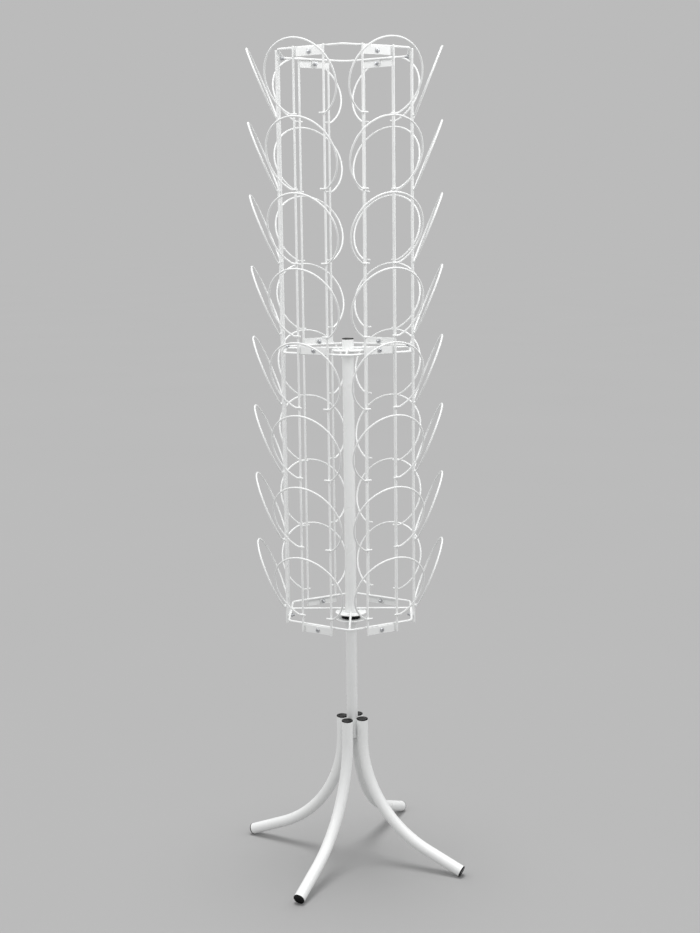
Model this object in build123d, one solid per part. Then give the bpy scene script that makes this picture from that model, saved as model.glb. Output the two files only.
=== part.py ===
from build123d import *
import math
import os

# Floor-standing spinner rack for caps: a six-sided wire basket with eight rows
# of tilted loops turns on a tube pole, and the pole stands on four bent legs.
# Millimetres, +Z up.  The origin is on the floor, on the axis of the pole.

# ---- driving dimensions ----------------------------------------------------
# tube stock of the stand
TUBE_D = 25.0
TUBE_WALL = 1.5
# wire stock of the basket
RING_WIRE_D = 5.0
UPRIGHT_WIRE_D = 5.0
LOOP_WIRE_D = 4.0

# base
LEG_COUNT = 4
LEG_AZIMUTH = -25.0
LEG_TOP_Z = 325.0
LEG_BEND_RADIUS = 255.0
LEG_END_SLOPE = 22.5
FOOT_REACH = 262.0
FOOT_FLAT_DEPTH = 0.8
PLUG_HEAD = 2.5
PLUG_SHANK = 14.0
PLUG_RIB = 0.6
CENTRE_TUBE_LENGTH = 44.0
SPIGOT_LENGTH = 90.0
SPIGOT_WALL = 2.0

# pole and hubs
POLE_TOP_Z = 1170.0
SLEEVE_D = 28.0
SLEEVE_LENGTH = 8.0
HUB_DISC_D = 68.0
COLLAR_D = 68.0
DISC_THICKNESS = 2.5
RUNNING_CLEARANCE = 0.075

# thrust bearing under the basket, the stock size for a 25 mm shaft
BEARING_D = 42.0
BEARING_HEIGHT = 11.0
BALL_D = 4.5
BALL_COUNT = 12
BALL_CIRCLE_R = 15.7
BALL_CLEARANCE = 0.3
CAGE_THICKNESS = 0.8
CAGE_INNER_R = 12.9
CAGE_OUTER_R = 18.9
SKIRT_THICKNESS = 1.6

# basket frame
RING_APOTHEM = 132.0
RING_CORNER_R = 17.0
RING_Z = {"bottom": 572.0, "mid": 1149.5, "top": 1759.0}
# how far the hub discs' top faces lie below the middle of their rings
HUB_DROP = 1.5
SPOKE_INNER_R = 19.5
CROSS_ROD_OFFSET = 16.0
SPOKE_END_GAP = 0.2
FACE_COUNT = 6
FIRST_FACE_AZIMUTH = -60.0

# panels
UPRIGHT_SPACING = 71.0
UPRIGHT_TOP_OVERHANG = 4.5
PLATE_HEIGHT = 16.0
PLATE_THICKNESS = 1.5
PLATE_CORNER_R = 1.5
LUG_WIDTH = 14.0
LUG_THICKNESS = 2.0
LUG_TAIL = 7.0
# height of each screw above its ring: lugs hang below the outer rings and
# stand up from the middle one
SCREW_RISE = {"bottom": -9.0, "mid": 7.0, "top": -9.5}

# loops
LOOP_ROWS = 8
LOOP_FIRST_Z = 593.5
LOOP_PITCH = 148.0
LOOP_RADIUS = 81.5
LOOP_RISE = 70.0
LOOP_TILT = 22.5
LOOP_BEND_R = 10.0
LOOP_FOOT_END = 26.5

# M5 fasteners
SCREW_D = 5.0
SCREW_HOLE_D = 5.5
SCREW_LENGTH = 12.0
SCREW_HEAD_D = 9.5
SCREW_HEAD_H = 3.2
SCREW_SLOT_W = 1.2
SCREW_SLOT_L = 5.0
SCREW_SLOT_DEPTH = 1.6
NUT_FLATS = 8.0
NUT_H = 4.0

# ---- worked out ------------------------------------------------------------
TUBE_R = TUBE_D / 2
TUBE_BORE_R = TUBE_R - TUBE_WALL
LEG_AXIS_R = 2 * TUBE_R
RING_WIRE_R = RING_WIRE_D / 2
UPRIGHT_R = UPRIGHT_WIRE_D / 2
PLATE_INNER_R = RING_APOTHEM + RING_WIRE_R
PLATE_OUTER_R = PLATE_INNER_R + PLATE_THICKNESS
UPRIGHT_AXIS_R = PLATE_OUTER_R + UPRIGHT_R
FOOT_AXIS_R = UPRIGHT_AXIS_R + UPRIGHT_R + LOOP_WIRE_D / 2
SCREW_Z = {name: RING_Z[name] + SCREW_RISE[name] for name in RING_Z}
RUNNING_BORE_R = TUBE_R + RUNNING_CLEARANCE
HUB_TOP = -HUB_DROP
HUB_BOTTOM = HUB_TOP - DISC_THICKNESS
BEARING_TOP_Z = RING_Z["bottom"] + HUB_BOTTOM
BEARING_BOTTOM_Z = BEARING_TOP_Z - BEARING_HEIGHT
BALL_Z = (BEARING_TOP_Z + BEARING_BOTTOM_Z) / 2
RACE_GAP = CAGE_THICKNESS + 3 * BALL_CLEARANCE


# ---- helpers ---------------------------------------------------------------
def turned(shape, azimuth):
    """Turn a shape about the pole's axis."""
    return Rot(0, 0, azimuth) * shape


def ring_of(shape, count, first=0.0):
    """Copies of a shape, evenly spaced about the pole's axis."""
    return [turned(shape, first + i * 360 / count) for i in range(count)]


def disc(outer_r, bore_r, z0, z1):
    """A flat ring on the pole's axis."""
    blank = Cylinder(outer_r, z1 - z0, align=(Align.CENTER, Align.CENTER, Align.MIN))
    bore = Cylinder(bore_r, z1 - z0, align=(Align.CENTER, Align.CENTER, Align.MIN))
    return Pos(0, 0, z0) * (blank - bore)


def wire_between(start, end, diameter):
    """A straight round wire."""
    axis = Vector(*end) - Vector(*start)
    section = Plane(origin=start, z_dir=axis) * Circle(diameter / 2)
    return extrude(section, amount=axis.length)


def save(node, *solids):
    """Write one node: its solid, or its group of separate solids."""
    shape = solids[0] if len(solids) == 1 else Compound(list(solids))
    export_step(shape, f"parts/{node}.step")


# ---- stand: legs, plugs, pole ------------------------------------------------
def foot_end():
    """Centre of the leg tube's cut end, as reach from the axis and height."""
    slope = math.radians(LEG_END_SLOPE)
    rim_drop = TUBE_R * math.cos(slope) + PLUG_HEAD * math.sin(slope)
    return FOOT_REACH, rim_drop - FOOT_FLAT_DEPTH


def leg():
    """A leg tube along +X: straight down, one wide bend, straight to the floor."""
    turn = math.radians(90 - LEG_END_SLOPE)
    slope = math.radians(LEG_END_SLOPE)
    end_x, end_z = foot_end()
    bend_x = LEG_AXIS_R + LEG_BEND_RADIUS * (1 - math.cos(turn))
    bend_end_z = end_z + (end_x - bend_x) * math.tan(slope)
    bend_start_z = bend_end_z + LEG_BEND_RADIUS * math.sin(turn)
    half = turn / 2
    mid_x = LEG_AXIS_R + LEG_BEND_RADIUS * (1 - math.cos(half))
    mid_z = bend_start_z - LEG_BEND_RADIUS * math.sin(half)
    top = (LEG_AXIS_R, 0, LEG_TOP_Z)
    start = (LEG_AXIS_R, 0, bend_start_z)
    stop = (bend_x, 0, bend_end_z)
    path = Wire([
        Edge.make_line(top, start),
        Edge.make_three_point_arc(start, (mid_x, 0, mid_z), stop),
        Edge.make_line(stop, (end_x, 0, end_z)),
    ])
    section = Plane(origin=top, z_dir=(0, 0, -1)) * (Circle(TUBE_R) - Circle(TUBE_BORE_R))
    return sweep(section, path=path)


def tube_plug():
    """A push-in plug: its head sits on z=0 and its ribbed shank hangs below."""
    shank_r = TUBE_BORE_R - PLUG_RIB
    head = Cylinder(TUBE_R, PLUG_HEAD, align=(Align.CENTER, Align.CENTER, Align.MIN))
    head = fillet(head.edges().group_by(Axis.Z)[-1], 1.0)
    down = (Align.CENTER, Align.CENTER, Align.MAX)
    plug = head + Cylinder(shank_r, PLUG_SHANK, align=down)
    for depth in (3.0, 7.0, 11.0):
        rib = Cone(shank_r, TUBE_BORE_R, 2.5, align=down)
        plug += Pos(0, 0, -depth) * rib
    return plug - Pos(0, 0, -PLUG_SHANK) * Cylinder(
        shank_r - 1.6, PLUG_SHANK - 2.0, align=(Align.CENTER, Align.CENTER, Align.MIN))


def leg_top_plug():
    return Pos(LEG_AXIS_R, 0, LEG_TOP_Z) * tube_plug()


def foot_plug():
    """The plug in a leg's lower end, with the flat that it stands on."""
    end_x, end_z = foot_end()
    slope = math.radians(LEG_END_SLOPE)
    outward = Vector(math.cos(slope), 0, -math.sin(slope))
    placed = Plane(origin=(end_x, 0, end_z), z_dir=outward).location * tube_plug()
    floor = Box(120, 120, 40, align=(Align.CENTER, Align.CENTER, Align.MAX))
    return placed - Pos(end_x, 0, 0) * floor


def centre_tube():
    """Short tube that the four legs are welded round."""
    return disc(TUBE_R, TUBE_BORE_R, LEG_TOP_Z - CENTRE_TUBE_LENGTH, LEG_TOP_Z)


def joining_spigot():
    """Inner tube that lines the pole up on the centre tube."""
    outer_r = TUBE_BORE_R - 0.05
    low = LEG_TOP_Z - CENTRE_TUBE_LENGTH + 2
    return disc(outer_r, outer_r - SPIGOT_WALL, low, low + SPIGOT_LENGTH)


def pole():
    return disc(TUBE_R, TUBE_BORE_R, LEG_TOP_Z, POLE_TOP_Z)


def pole_cap():
    return Pos(0, 0, POLE_TOP_Z) * tube_plug()


def support_collar():
    """Disc welded to the pole, which carries the bearing and the basket."""
    return disc(COLLAR_D / 2, TUBE_R, BEARING_BOTTOM_Z - DISC_THICKNESS, BEARING_BOTTOM_Z)


# ---- thrust bearing ----------------------------------------------------------
def ball_groove():
    """Torus that both races are grooved with."""
    return Pos(0, 0, BALL_Z) * Torus(BALL_CIRCLE_R, BALL_D / 2 + BALL_CLEARANCE)


def lower_race():
    low_r = BEARING_D / 2 - SKIRT_THICKNESS - 2 * BALL_CLEARANCE
    step_z = BALL_Z - RACE_GAP / 2 - 2
    body = disc(BEARING_D / 2, RUNNING_BORE_R, BEARING_BOTTOM_Z, step_z)
    body += disc(low_r, RUNNING_BORE_R, step_z, BALL_Z - RACE_GAP / 2)
    return body - ball_groove()


def upper_race():
    """Upper race, with a skirt that overlaps the lower one and keeps dust out."""
    skirt_z = BALL_Z - RACE_GAP / 2 - 2 + 2 * BALL_CLEARANCE
    body = disc(BEARING_D / 2, RUNNING_BORE_R, BALL_Z + RACE_GAP / 2, BEARING_TOP_Z)
    body += disc(BEARING_D / 2, BEARING_D / 2 - SKIRT_THICKNESS, skirt_z, BEARING_TOP_Z)
    return body - ball_groove()


def ball_cage():
    cage = disc(CAGE_OUTER_R, CAGE_INNER_R, BALL_Z - CAGE_THICKNESS / 2, BALL_Z + CAGE_THICKNESS / 2)
    pocket = Pos(BALL_CIRCLE_R, 0, BALL_Z) * Cylinder(BALL_D / 2 + 0.1, 2 * CAGE_THICKNESS)
    for hole in ring_of(pocket, BALL_COUNT):
        cage -= hole
    return cage


def bearing_balls():
    return ring_of(Pos(BALL_CIRCLE_R, 0, BALL_Z) * Sphere(BALL_D / 2), BALL_COUNT)


# ---- basket frame ------------------------------------------------------------
def ring_path():
    """Hexagon with rounded corners, one corner towards -Y."""
    corner_r = RING_APOTHEM / math.cos(math.pi / FACE_COUNT)
    hexagon = RegularPolygon(corner_r, FACE_COUNT, rotation=30)
    return fillet(hexagon.vertices(), RING_CORNER_R).face().outer_wire()


def hex_ring(z):
    path = ring_path()
    start = path.position_at(0)
    section = Plane(origin=start, z_dir=path.tangent_at(0)) * Circle(RING_WIRE_R)
    return Pos(0, 0, z) * sweep(section, path=path)


def spokes(z):
    """Wires laid on a hub disc and welded to the inside of its ring.

    One rod runs right across behind the pole; a spoke runs to the corner at
    each end of the Y axis.
    """
    high = z + HUB_TOP + RING_WIRE_R
    corner = RING_APOTHEM / math.cos(math.pi / FACE_COUNT)
    corner -= RING_CORNER_R * (1 / math.cos(math.pi / FACE_COUNT) - 1)
    corner_end = corner - RING_WIRE_R - SPOKE_END_GAP
    corner_spoke = wire_between(
        (0, SPOKE_INNER_R, high), (0, corner_end, high), RING_WIRE_D)
    side = RING_APOTHEM - RING_WIRE_R
    cross_rod = wire_between(
        (-side, CROSS_ROD_OFFSET, high), (side, CROSS_ROD_OFFSET, high), RING_WIRE_D)
    return ring_of(corner_spoke, 2) + [cross_rod]


def hub_disc(z, bore_r):
    return disc(HUB_DISC_D / 2, bore_r, z + HUB_BOTTOM, z + HUB_TOP)


def guide_sleeve():
    """Short tube in the middle hub disc that runs on the pole."""
    top = RING_Z["mid"] + HUB_TOP
    return disc(SLEEVE_D / 2, RUNNING_BORE_R, top - SLEEVE_LENGTH, top)


def lug(level):
    """Screw tab welded to a ring, on the face towards +X."""
    z = RING_Z[level]
    screw_z = SCREW_Z[level]
    far_z = screw_z + math.copysign(LUG_TAIL, screw_z - z)
    blank = Pos(PLATE_INNER_R - LUG_THICKNESS / 2, 0, (z + far_z) / 2) * Box(
        LUG_THICKNESS, LUG_WIDTH, abs(far_z - z))
    far_edges = blank.edges().filter_by(Axis.X).sort_by(Axis.Z)
    far_edges = far_edges[-2:] if far_z > z else far_edges[:2]
    tab = fillet(far_edges, LUG_WIDTH / 2 - 0.5)
    hole = Pos(PLATE_INNER_R, 0, screw_z) * Rot(0, 90, 0) * Cylinder(SCREW_HOLE_D / 2, 10)
    wire = Pos(RING_APOTHEM, 0, z) * Rot(90, 0, 0) * Cylinder(RING_WIRE_R, 2 * LUG_WIDTH)
    return tab - hole - wire


# ---- panels --------------------------------------------------------------------
def uprights():
    """The two full-height wires of one panel, on the face towards +X."""
    low = SCREW_Z["bottom"] - PLATE_HEIGHT / 2
    high = SCREW_Z["top"] + PLATE_HEIGHT / 2 + UPRIGHT_TOP_OVERHANG
    side = UPRIGHT_SPACING / 2
    pair = []
    for y in (-side, side):
        wire = wire_between((UPRIGHT_AXIS_R, y, low), (UPRIGHT_AXIS_R, y, high), UPRIGHT_WIRE_D)
        pair.append(fillet(wire.edges().filter_by(GeomType.CIRCLE), 0.6))
    return pair


def plate(level):
    """Strap across a panel's uprights, with the hole for its screw."""
    blank = Pos((PLATE_INNER_R + PLATE_OUTER_R) / 2, 0, SCREW_Z[level]) * Box(
        PLATE_THICKNESS, UPRIGHT_SPACING, PLATE_HEIGHT)
    strap = fillet(blank.edges().filter_by(Axis.X), PLATE_CORNER_R)
    hole = Pos(PLATE_OUTER_R, 0, SCREW_Z[level]) * Rot(0, 90, 0) * Cylinder(SCREW_HOLE_D / 2, 10)
    return strap - hole


def flat_loop():
    """One loop in its own plane: x along the feet, y up the loop."""
    centre = (0, LOOP_RISE)
    reach = LOOP_RADIUS - LOOP_BEND_R
    drop = LOOP_RISE - LOOP_BEND_R
    bend_x = math.sqrt(reach ** 2 - drop ** 2)
    bend_angle = math.degrees(math.atan2(drop, bend_x))
    path = Wire([
        Line((-LOOP_FOOT_END, 0), (-bend_x, 0)).edge(),
        CenterArc((-bend_x, LOOP_BEND_R), LOOP_BEND_R, -90, bend_angle - 90).edge(),
        CenterArc(centre, LOOP_RADIUS, 180 + bend_angle, -180 - 2 * bend_angle).edge(),
        CenterArc((bend_x, LOOP_BEND_R), LOOP_BEND_R, -bend_angle, bend_angle - 90).edge(),
        Line((bend_x, 0), (LOOP_FOOT_END, 0)).edge(),
    ])
    section = Plane(origin=(-LOOP_FOOT_END, 0, 0), z_dir=(-1, 0, 0)) * Circle(LOOP_WIRE_D / 2)
    return sweep(section, path=path)


def loops():
    """The column of loops of one panel, on the face towards +X."""
    tilt = math.radians(LOOP_TILT)
    along = Vector(0, 1, 0)
    up = Vector(math.sin(tilt), 0, math.cos(tilt))
    wire = flat_loop()
    column = []
    for row in range(LOOP_ROWS):
        z = LOOP_FIRST_Z + row * LOOP_PITCH
        seat = Plane(origin=(FOOT_AXIS_R, 0, z), x_dir=along, z_dir=along.cross(up))
        column.append(seat.location * wire)
    return column


# ---- fasteners -------------------------------------------------------------------
def screw():
    """Pan-head screw along +X, with its head's underside at the origin."""
    head = Cylinder(SCREW_HEAD_D / 2, SCREW_HEAD_H, align=(Align.CENTER, Align.CENTER, Align.MIN))
    head = fillet(head.edges().group_by(Axis.Z)[-1], 1.8)
    slot = Pos(0, 0, SCREW_HEAD_H - SCREW_SLOT_DEPTH / 2) * Box(
        SCREW_SLOT_L, SCREW_SLOT_W, SCREW_SLOT_DEPTH)
    shank = Cylinder(SCREW_D / 2, SCREW_LENGTH, align=(Align.CENTER, Align.CENTER, Align.MAX))
    body = head + chamfer(shank.edges().group_by(Axis.Z)[0], 0.6)
    body = body - slot - Rot(0, 0, 90) * slot
    return Rot(0, 90, 0) * body


def nut():
    """Hexagon nut along +X, with its outer face at the origin."""
    hexagon = RegularPolygon(NUT_FLATS / 2, 6, major_radius=False, rotation=30) - Circle(SCREW_D / 2)
    return Rot(0, 90, 0) * extrude(hexagon, amount=-NUT_H)


def at_every_lug(shape, radius):
    """Copies of a shape at the screw place of each face at each level."""
    copies = []
    for level in RING_Z:
        copies += ring_of(Pos(radius, 0, SCREW_Z[level]) * shape, FACE_COUNT, FIRST_FACE_AZIMUTH)
    return copies


# ---- write the nodes -----------------------------------------------------------
os.makedirs("parts", exist_ok=True)

one_leg = leg()
one_top_plug = leg_top_plug()
one_foot_plug = foot_plug()
for i in range(LEG_COUNT):
    azimuth = LEG_AZIMUTH + i * 360 / LEG_COUNT
    save(f"leg_{i + 1}", turned(one_leg, azimuth))
    save(f"leg_top_plug_{i + 1}", turned(one_top_plug, azimuth))
    save(f"foot_plug_{i + 1}", turned(one_foot_plug, azimuth))

save("centre_tube", centre_tube())
save("joining_spigot", joining_spigot())
save("pole", pole())
save("pole_cap", pole_cap())
save("support_collar", support_collar())

save("bearing_lower_race", lower_race())
save("bearing_upper_race", upper_race())
save("ball_cage", ball_cage())
save("bearing_balls", *bearing_balls())

for level, z in RING_Z.items():
    save(f"ring_{level}", hex_ring(z))
    save(f"ring_{level}_lugs", *ring_of(lug(level), FACE_COUNT, FIRST_FACE_AZIMUTH))

save("hub_disc_bottom", hub_disc(RING_Z["bottom"], RUNNING_BORE_R + 0.4))
save("hub_disc_mid", hub_disc(RING_Z["mid"], SLEEVE_D / 2))
save("spokes_bottom", *spokes(RING_Z["bottom"]))
save("spokes_mid", *spokes(RING_Z["mid"]))
save("guide_sleeve", guide_sleeve())

panel_uprights = uprights()
panel_plates = [plate(level) for level in RING_Z]
panel_loops = loops()
for i in range(FACE_COUNT):
    azimuth = FIRST_FACE_AZIMUTH + i * 360 / FACE_COUNT
    save(f"panel_{i + 1}_uprights", *[turned(wire, azimuth) for wire in panel_uprights])
    save(f"panel_{i + 1}_plates", *[turned(strap, azimuth) for strap in panel_plates])
    save(f"panel_{i + 1}_loops", *[turned(wire, azimuth) for wire in panel_loops])

save("panel_screws", *at_every_lug(screw(), PLATE_OUTER_R))
save("panel_nuts", *at_every_lug(nut(), PLATE_INNER_R - LUG_THICKNESS))
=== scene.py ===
import math
import random

import bmesh
import bpy
from mathutils import Matrix, Vector


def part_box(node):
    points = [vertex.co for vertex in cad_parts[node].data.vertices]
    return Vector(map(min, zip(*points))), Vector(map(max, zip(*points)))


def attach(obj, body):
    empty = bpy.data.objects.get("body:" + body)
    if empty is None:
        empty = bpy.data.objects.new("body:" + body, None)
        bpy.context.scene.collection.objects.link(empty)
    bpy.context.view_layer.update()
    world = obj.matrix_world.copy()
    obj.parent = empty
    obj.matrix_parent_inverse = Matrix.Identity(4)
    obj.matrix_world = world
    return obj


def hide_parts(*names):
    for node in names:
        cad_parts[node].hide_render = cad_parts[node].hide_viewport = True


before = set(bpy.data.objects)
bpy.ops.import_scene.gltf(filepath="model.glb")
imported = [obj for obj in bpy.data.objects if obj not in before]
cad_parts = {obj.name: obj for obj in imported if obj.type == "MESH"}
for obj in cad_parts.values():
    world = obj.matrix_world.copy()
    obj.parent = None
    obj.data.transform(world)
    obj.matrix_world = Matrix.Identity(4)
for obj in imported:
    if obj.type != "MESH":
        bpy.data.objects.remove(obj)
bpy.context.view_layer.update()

bl_info = {
    "name": "Cap spinner rack",
    "version": (1, 0, 0),
    "blender": (4, 5, 0),
    "location": "View3D > Sidebar > Rack",
    "description": "Smooth wires, tubes, plugs and finishes around a packed cap spinner rack",
    "category": "Object",
}

MM = 0.001
FACE_COUNT = 6
LEG_COUNT = 4
LEVELS = ("bottom", "mid", "top")
PANELS = range(1, FACE_COUNT + 1)

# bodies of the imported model
STAND = "stand"
BASKET = "basket"


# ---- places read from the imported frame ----
def middle(node):
    """Centre of a CAD node's box."""
    low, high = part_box(node)
    return (low + high) / 2


# panel 2 faces +X, so its boxes give radii along X and widths along Y
upright_low, upright_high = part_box("panel_2_uprights")
strap_low, strap_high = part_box("panel_2_plates")
loops_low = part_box("panel_2_loops")[0]
pole_low, pole_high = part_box("pole")
stub_low, stub_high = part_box("centre_tube")
collar_low, collar_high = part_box("support_collar")
sleeve_low, sleeve_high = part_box("guide_sleeve")
lower_race_low, lower_race_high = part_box("bearing_lower_race")
upper_race_low, upper_race_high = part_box("bearing_upper_race")
spoke_low, spoke_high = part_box("spokes_bottom")

RING_Z = {level: middle(f"ring_{level}").z for level in LEVELS}
UPRIGHT_R = (upright_high.x + upright_low.x) / 2
UPRIGHT_D = upright_high.x - upright_low.x
UPRIGHT_Y = upright_high.y - UPRIGHT_D / 2
STRAP_T = strap_high.x - strap_low.x
STRAP_Y = strap_high.y
RING_WIRE_D = spoke_high.z - spoke_low.z
RING_APOTHEM = strap_low.x - RING_WIRE_D / 2
TUBE_D = stub_high.y - stub_low.y
FIRST_FACE = math.radians(-60)
FACE_STEP = math.tau / FACE_COUNT
plug_centre = middle("leg_top_plug_1")
LEG_R = math.hypot(plug_centre.x, plug_centre.y)
FIRST_LEG = math.atan2(plug_centre.y, plug_centre.x)
LEG_STEP = math.tau / LEG_COUNT


# ---- sizes that the frame's boxes don't give ----
STRAP_HEIGHT = 16 * MM
STRAP_CORNER_R = 1.5 * MM
STRAP_EDGE = 0.35 * MM
LUG_WIDTH = 14 * MM
LUG_T = 2 * MM
LUG_TAIL = 7 * MM
LUG_EDGE = 0.3 * MM
SCREW_HOLE_D = 5.5 * MM
SCREW_HEAD_D = 9.5 * MM
SCREW_HEAD_H = 3.2 * MM
SCREW_LENGTH = 12 * MM
SCREW_D = 5 * MM
THREAD_PITCH = 0.8 * MM
NUT_FLATS = 8 * MM
NUT_H = 4 * MM
NUT_CHAMFER = 0.35 * MM
NUT_BORE_CHAMFER = 0.4 * MM
RING_CORNER_R = 17 * MM
SPOKE_INNER_R = 19.5 * MM
CROSS_ROD_Y = 16 * MM
LOOP_ROWS = 8
LOOP_PITCH = 148 * MM
LOOP_FOOT_END = 26.5 * MM
LOOP_BEND_R = 10 * MM
LEG_BEND_R = 255 * MM
LEG_END_SLOPE = math.radians(22.5)
TUBE_WALL = 1.5 * MM
TUBE_EDGE_R = 0.5 * MM
DISC_EDGE_R = 0.8 * MM
PLUG_HEAD = 2.5 * MM
PLUG_SHANK = 14 * MM
PLUG_WALL = 1.6 * MM
PLUG_FLOOR = 2 * MM
PLUG_RIB = 0.6 * MM
PLUG_RIB_LENGTH = 2.5 * MM
PLUG_RIB_DEPTHS = (3 * MM, 7 * MM, 11 * MM)
FOOT_REACH = 262 * MM
FOOT_FLAT_DEPTH = 0.8 * MM
RUNNING_CLEARANCE = 0.075 * MM
HUB_CLEARANCE = 0.4 * MM
GROOVE_CLEARANCE = 0.3 * MM
RACE_GAP = 1.7 * MM
RACE_STEP = 2 * MM
RACE_EDGE = 0.4 * MM
RACE_STEP_EDGE = 0.2 * MM
RACE_BORE_EDGE = 0.3 * MM
SKIRT_WALL = 1.6 * MM
SKIRT_GAP = 0.6 * MM
SKIRT_EDGE_R = 0.5 * MM
FRAME_WIRE_SIDES = 16
SHARP_ANGLE = math.radians(38)
MERGE_DISTANCE = 1e-7

# half sizes of the weld drops at each kind of joint
LEG_WELD = (2.3 * MM, 1.5 * MM, 1.7 * MM)
ROUND_WELD = (1.4 * MM, 1.9 * MM, 1.4 * MM)
LUG_WELD = (1.1 * MM, 2.8 * MM, 1.2 * MM)
BUTT_WELD = (1.6 * MM, 1.6 * MM, 1.6 * MM)
SEAT_WELD = (2.6 * MM, 2.0 * MM, 1.2 * MM)
STRAP_WELD = (0.9 * MM, 1.9 * MM, 2.6 * MM)
LOOP_WELD_HEIGHT = 1.5 * MM

# where the drops lie: down a leg, across a tab or a strap, and beside or under a wire
LEG_WELD_ROWS = 9
LEG_WELD_FIRST = 2.5 * MM
LEG_WELD_PITCH = 2.1 * MM
LEG_WELD_ASIDE = 2.6 * MM
LUG_WELD_ROWS = (-4.5 * MM, 0, 4.5 * MM)
STRAP_WELD_ROWS = (-4.8 * MM, 0, 4.8 * MM)
STRAP_WELD_INSET = 1.5 * MM
BUTT_WELD_BESIDE = 2.1 * MM
BUTT_WELD_BACK = 0.9 * MM
SEAT_WELD_BESIDE = 2.3 * MM
UNDER_WIRE = 1.9 * MM
ROUND_WELD_OUT = 0.3 * MM
ROUND_WELD_DROP = 0.2 * MM
WELD_UNEVENNESS = 0.08
ROD_SEAT = 20 * MM
SPOKE_SEAT = 8 * MM


def strap_heights():
    """Height of the screw in each strap, from the outer straps and the middle ring's tabs."""
    half = STRAP_HEIGHT / 2
    lug_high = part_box("ring_mid_lugs")[1]
    return {
        "bottom": strap_low.z + half,
        "mid": lug_high.z - LUG_TAIL,
        "top": strap_high.z - half,
    }


SCREW_Z = strap_heights()


# ---- colours ----
def linear(hex_text):
    """An sRGB hex colour as linear red, green, blue and alpha."""
    channels = []
    for i in (1, 3, 5):
        value = int(hex_text[i:i + 2], 16) / 255
        channels.append(value / 12.92 if value <= 0.04045 else ((value + 0.055) / 1.055) ** 2.4)
    return (*channels, 1.0)


class RackSizes(bpy.types.PropertyGroup):
    """Sizes of the wire and tube work that a user would change."""
    loop_wire: bpy.props.FloatProperty(
        name="Loop wire", description="Diameter of the cap loops' wire",
        default=4 * MM, unit="LENGTH")
    loop_radius: bpy.props.FloatProperty(
        name="Loop radius", description="Radius of a cap loop, to the middle of its wire",
        default=81.5 * MM, unit="LENGTH")
    # 0.15 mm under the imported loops' rise, which keeps this rounder wire inside the CAD box
    loop_rise: bpy.props.FloatProperty(
        name="Loop rise", description="Distance from a loop's feet to its centre",
        default=69.85 * MM, unit="LENGTH")
    loop_tilt: bpy.props.FloatProperty(
        name="Loop tilt", description="How far a loop leans out from the panel",
        default=math.radians(22.5), subtype="ANGLE")
    wire_sides: bpy.props.IntProperty(
        name="Wire sides", description="Faces round a loop's wire", default=12, min=8, max=32)
    tube_sides: bpy.props.IntProperty(
        name="Tube sides", description="Faces round a tube", default=48, min=16, max=96)
    weld_size: bpy.props.FloatProperty(
        name="Weld size", description="Half width of a spot weld where two wires cross",
        default=2.7 * MM, unit="LENGTH")


class RackColours(bpy.types.PropertyGroup):
    """Colours of the rack's finishes and of the stage."""
    coat: bpy.props.FloatVectorProperty(
        name="Powder coat", description="White powder coat, where it lies thick",
        subtype="COLOR", size=4, min=0, max=1, default=linear("#F4F5F4"))
    coat_thin: bpy.props.FloatVectorProperty(
        name="Thin coat", description="White powder coat, where it lies thin",
        subtype="COLOR", size=4, min=0, max=1, default=linear("#ECEDED"))
    plug: bpy.props.FloatVectorProperty(
        name="Tube plugs", description="Black moulded polyethylene",
        subtype="COLOR", size=4, min=0, max=1, default=linear("#0E0E0F"))
    race: bpy.props.FloatVectorProperty(
        name="Bearing races", description="Black moulded acetal",
        subtype="COLOR", size=4, min=0, max=1, default=linear("#161617"))
    zinc: bpy.props.FloatVectorProperty(
        name="Fasteners", description="Clear zinc-plated steel",
        subtype="COLOR", size=4, min=0, max=1, default=linear("#CBCCCE"))
    stage: bpy.props.FloatVectorProperty(
        name="Stage", description="Grey that the floor and the room share",
        subtype="COLOR", size=4, min=0, max=1, default=linear("#BBBBBB"))


# ---- materials ----
def add_node(tree, kind, inputs=None, **settings):
    """Add one node: settings are its own properties, inputs are values or links by socket."""
    item = tree.nodes.new(kind)
    for key, value in settings.items():
        setattr(item, key, value)
    for key, value in (inputs or {}).items():
        if isinstance(value, bpy.types.NodeSocket):
            tree.links.new(value, item.inputs[key])
        else:
            item.inputs[key].default_value = value
    return item


def new_material(name):
    """An empty node material, with its shader and the place on the piece to build on."""
    material = bpy.data.materials.new(name)
    material.use_nodes = True
    tree = material.node_tree
    tree.nodes.clear()
    shader = add_node(tree, "ShaderNodeBsdfPrincipled")
    add_node(tree, "ShaderNodeOutputMaterial", {"Surface": shader.outputs[0]})
    place = add_node(tree, "ShaderNodeTexCoord").outputs["Object"]
    return material, tree, shader, place


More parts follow.
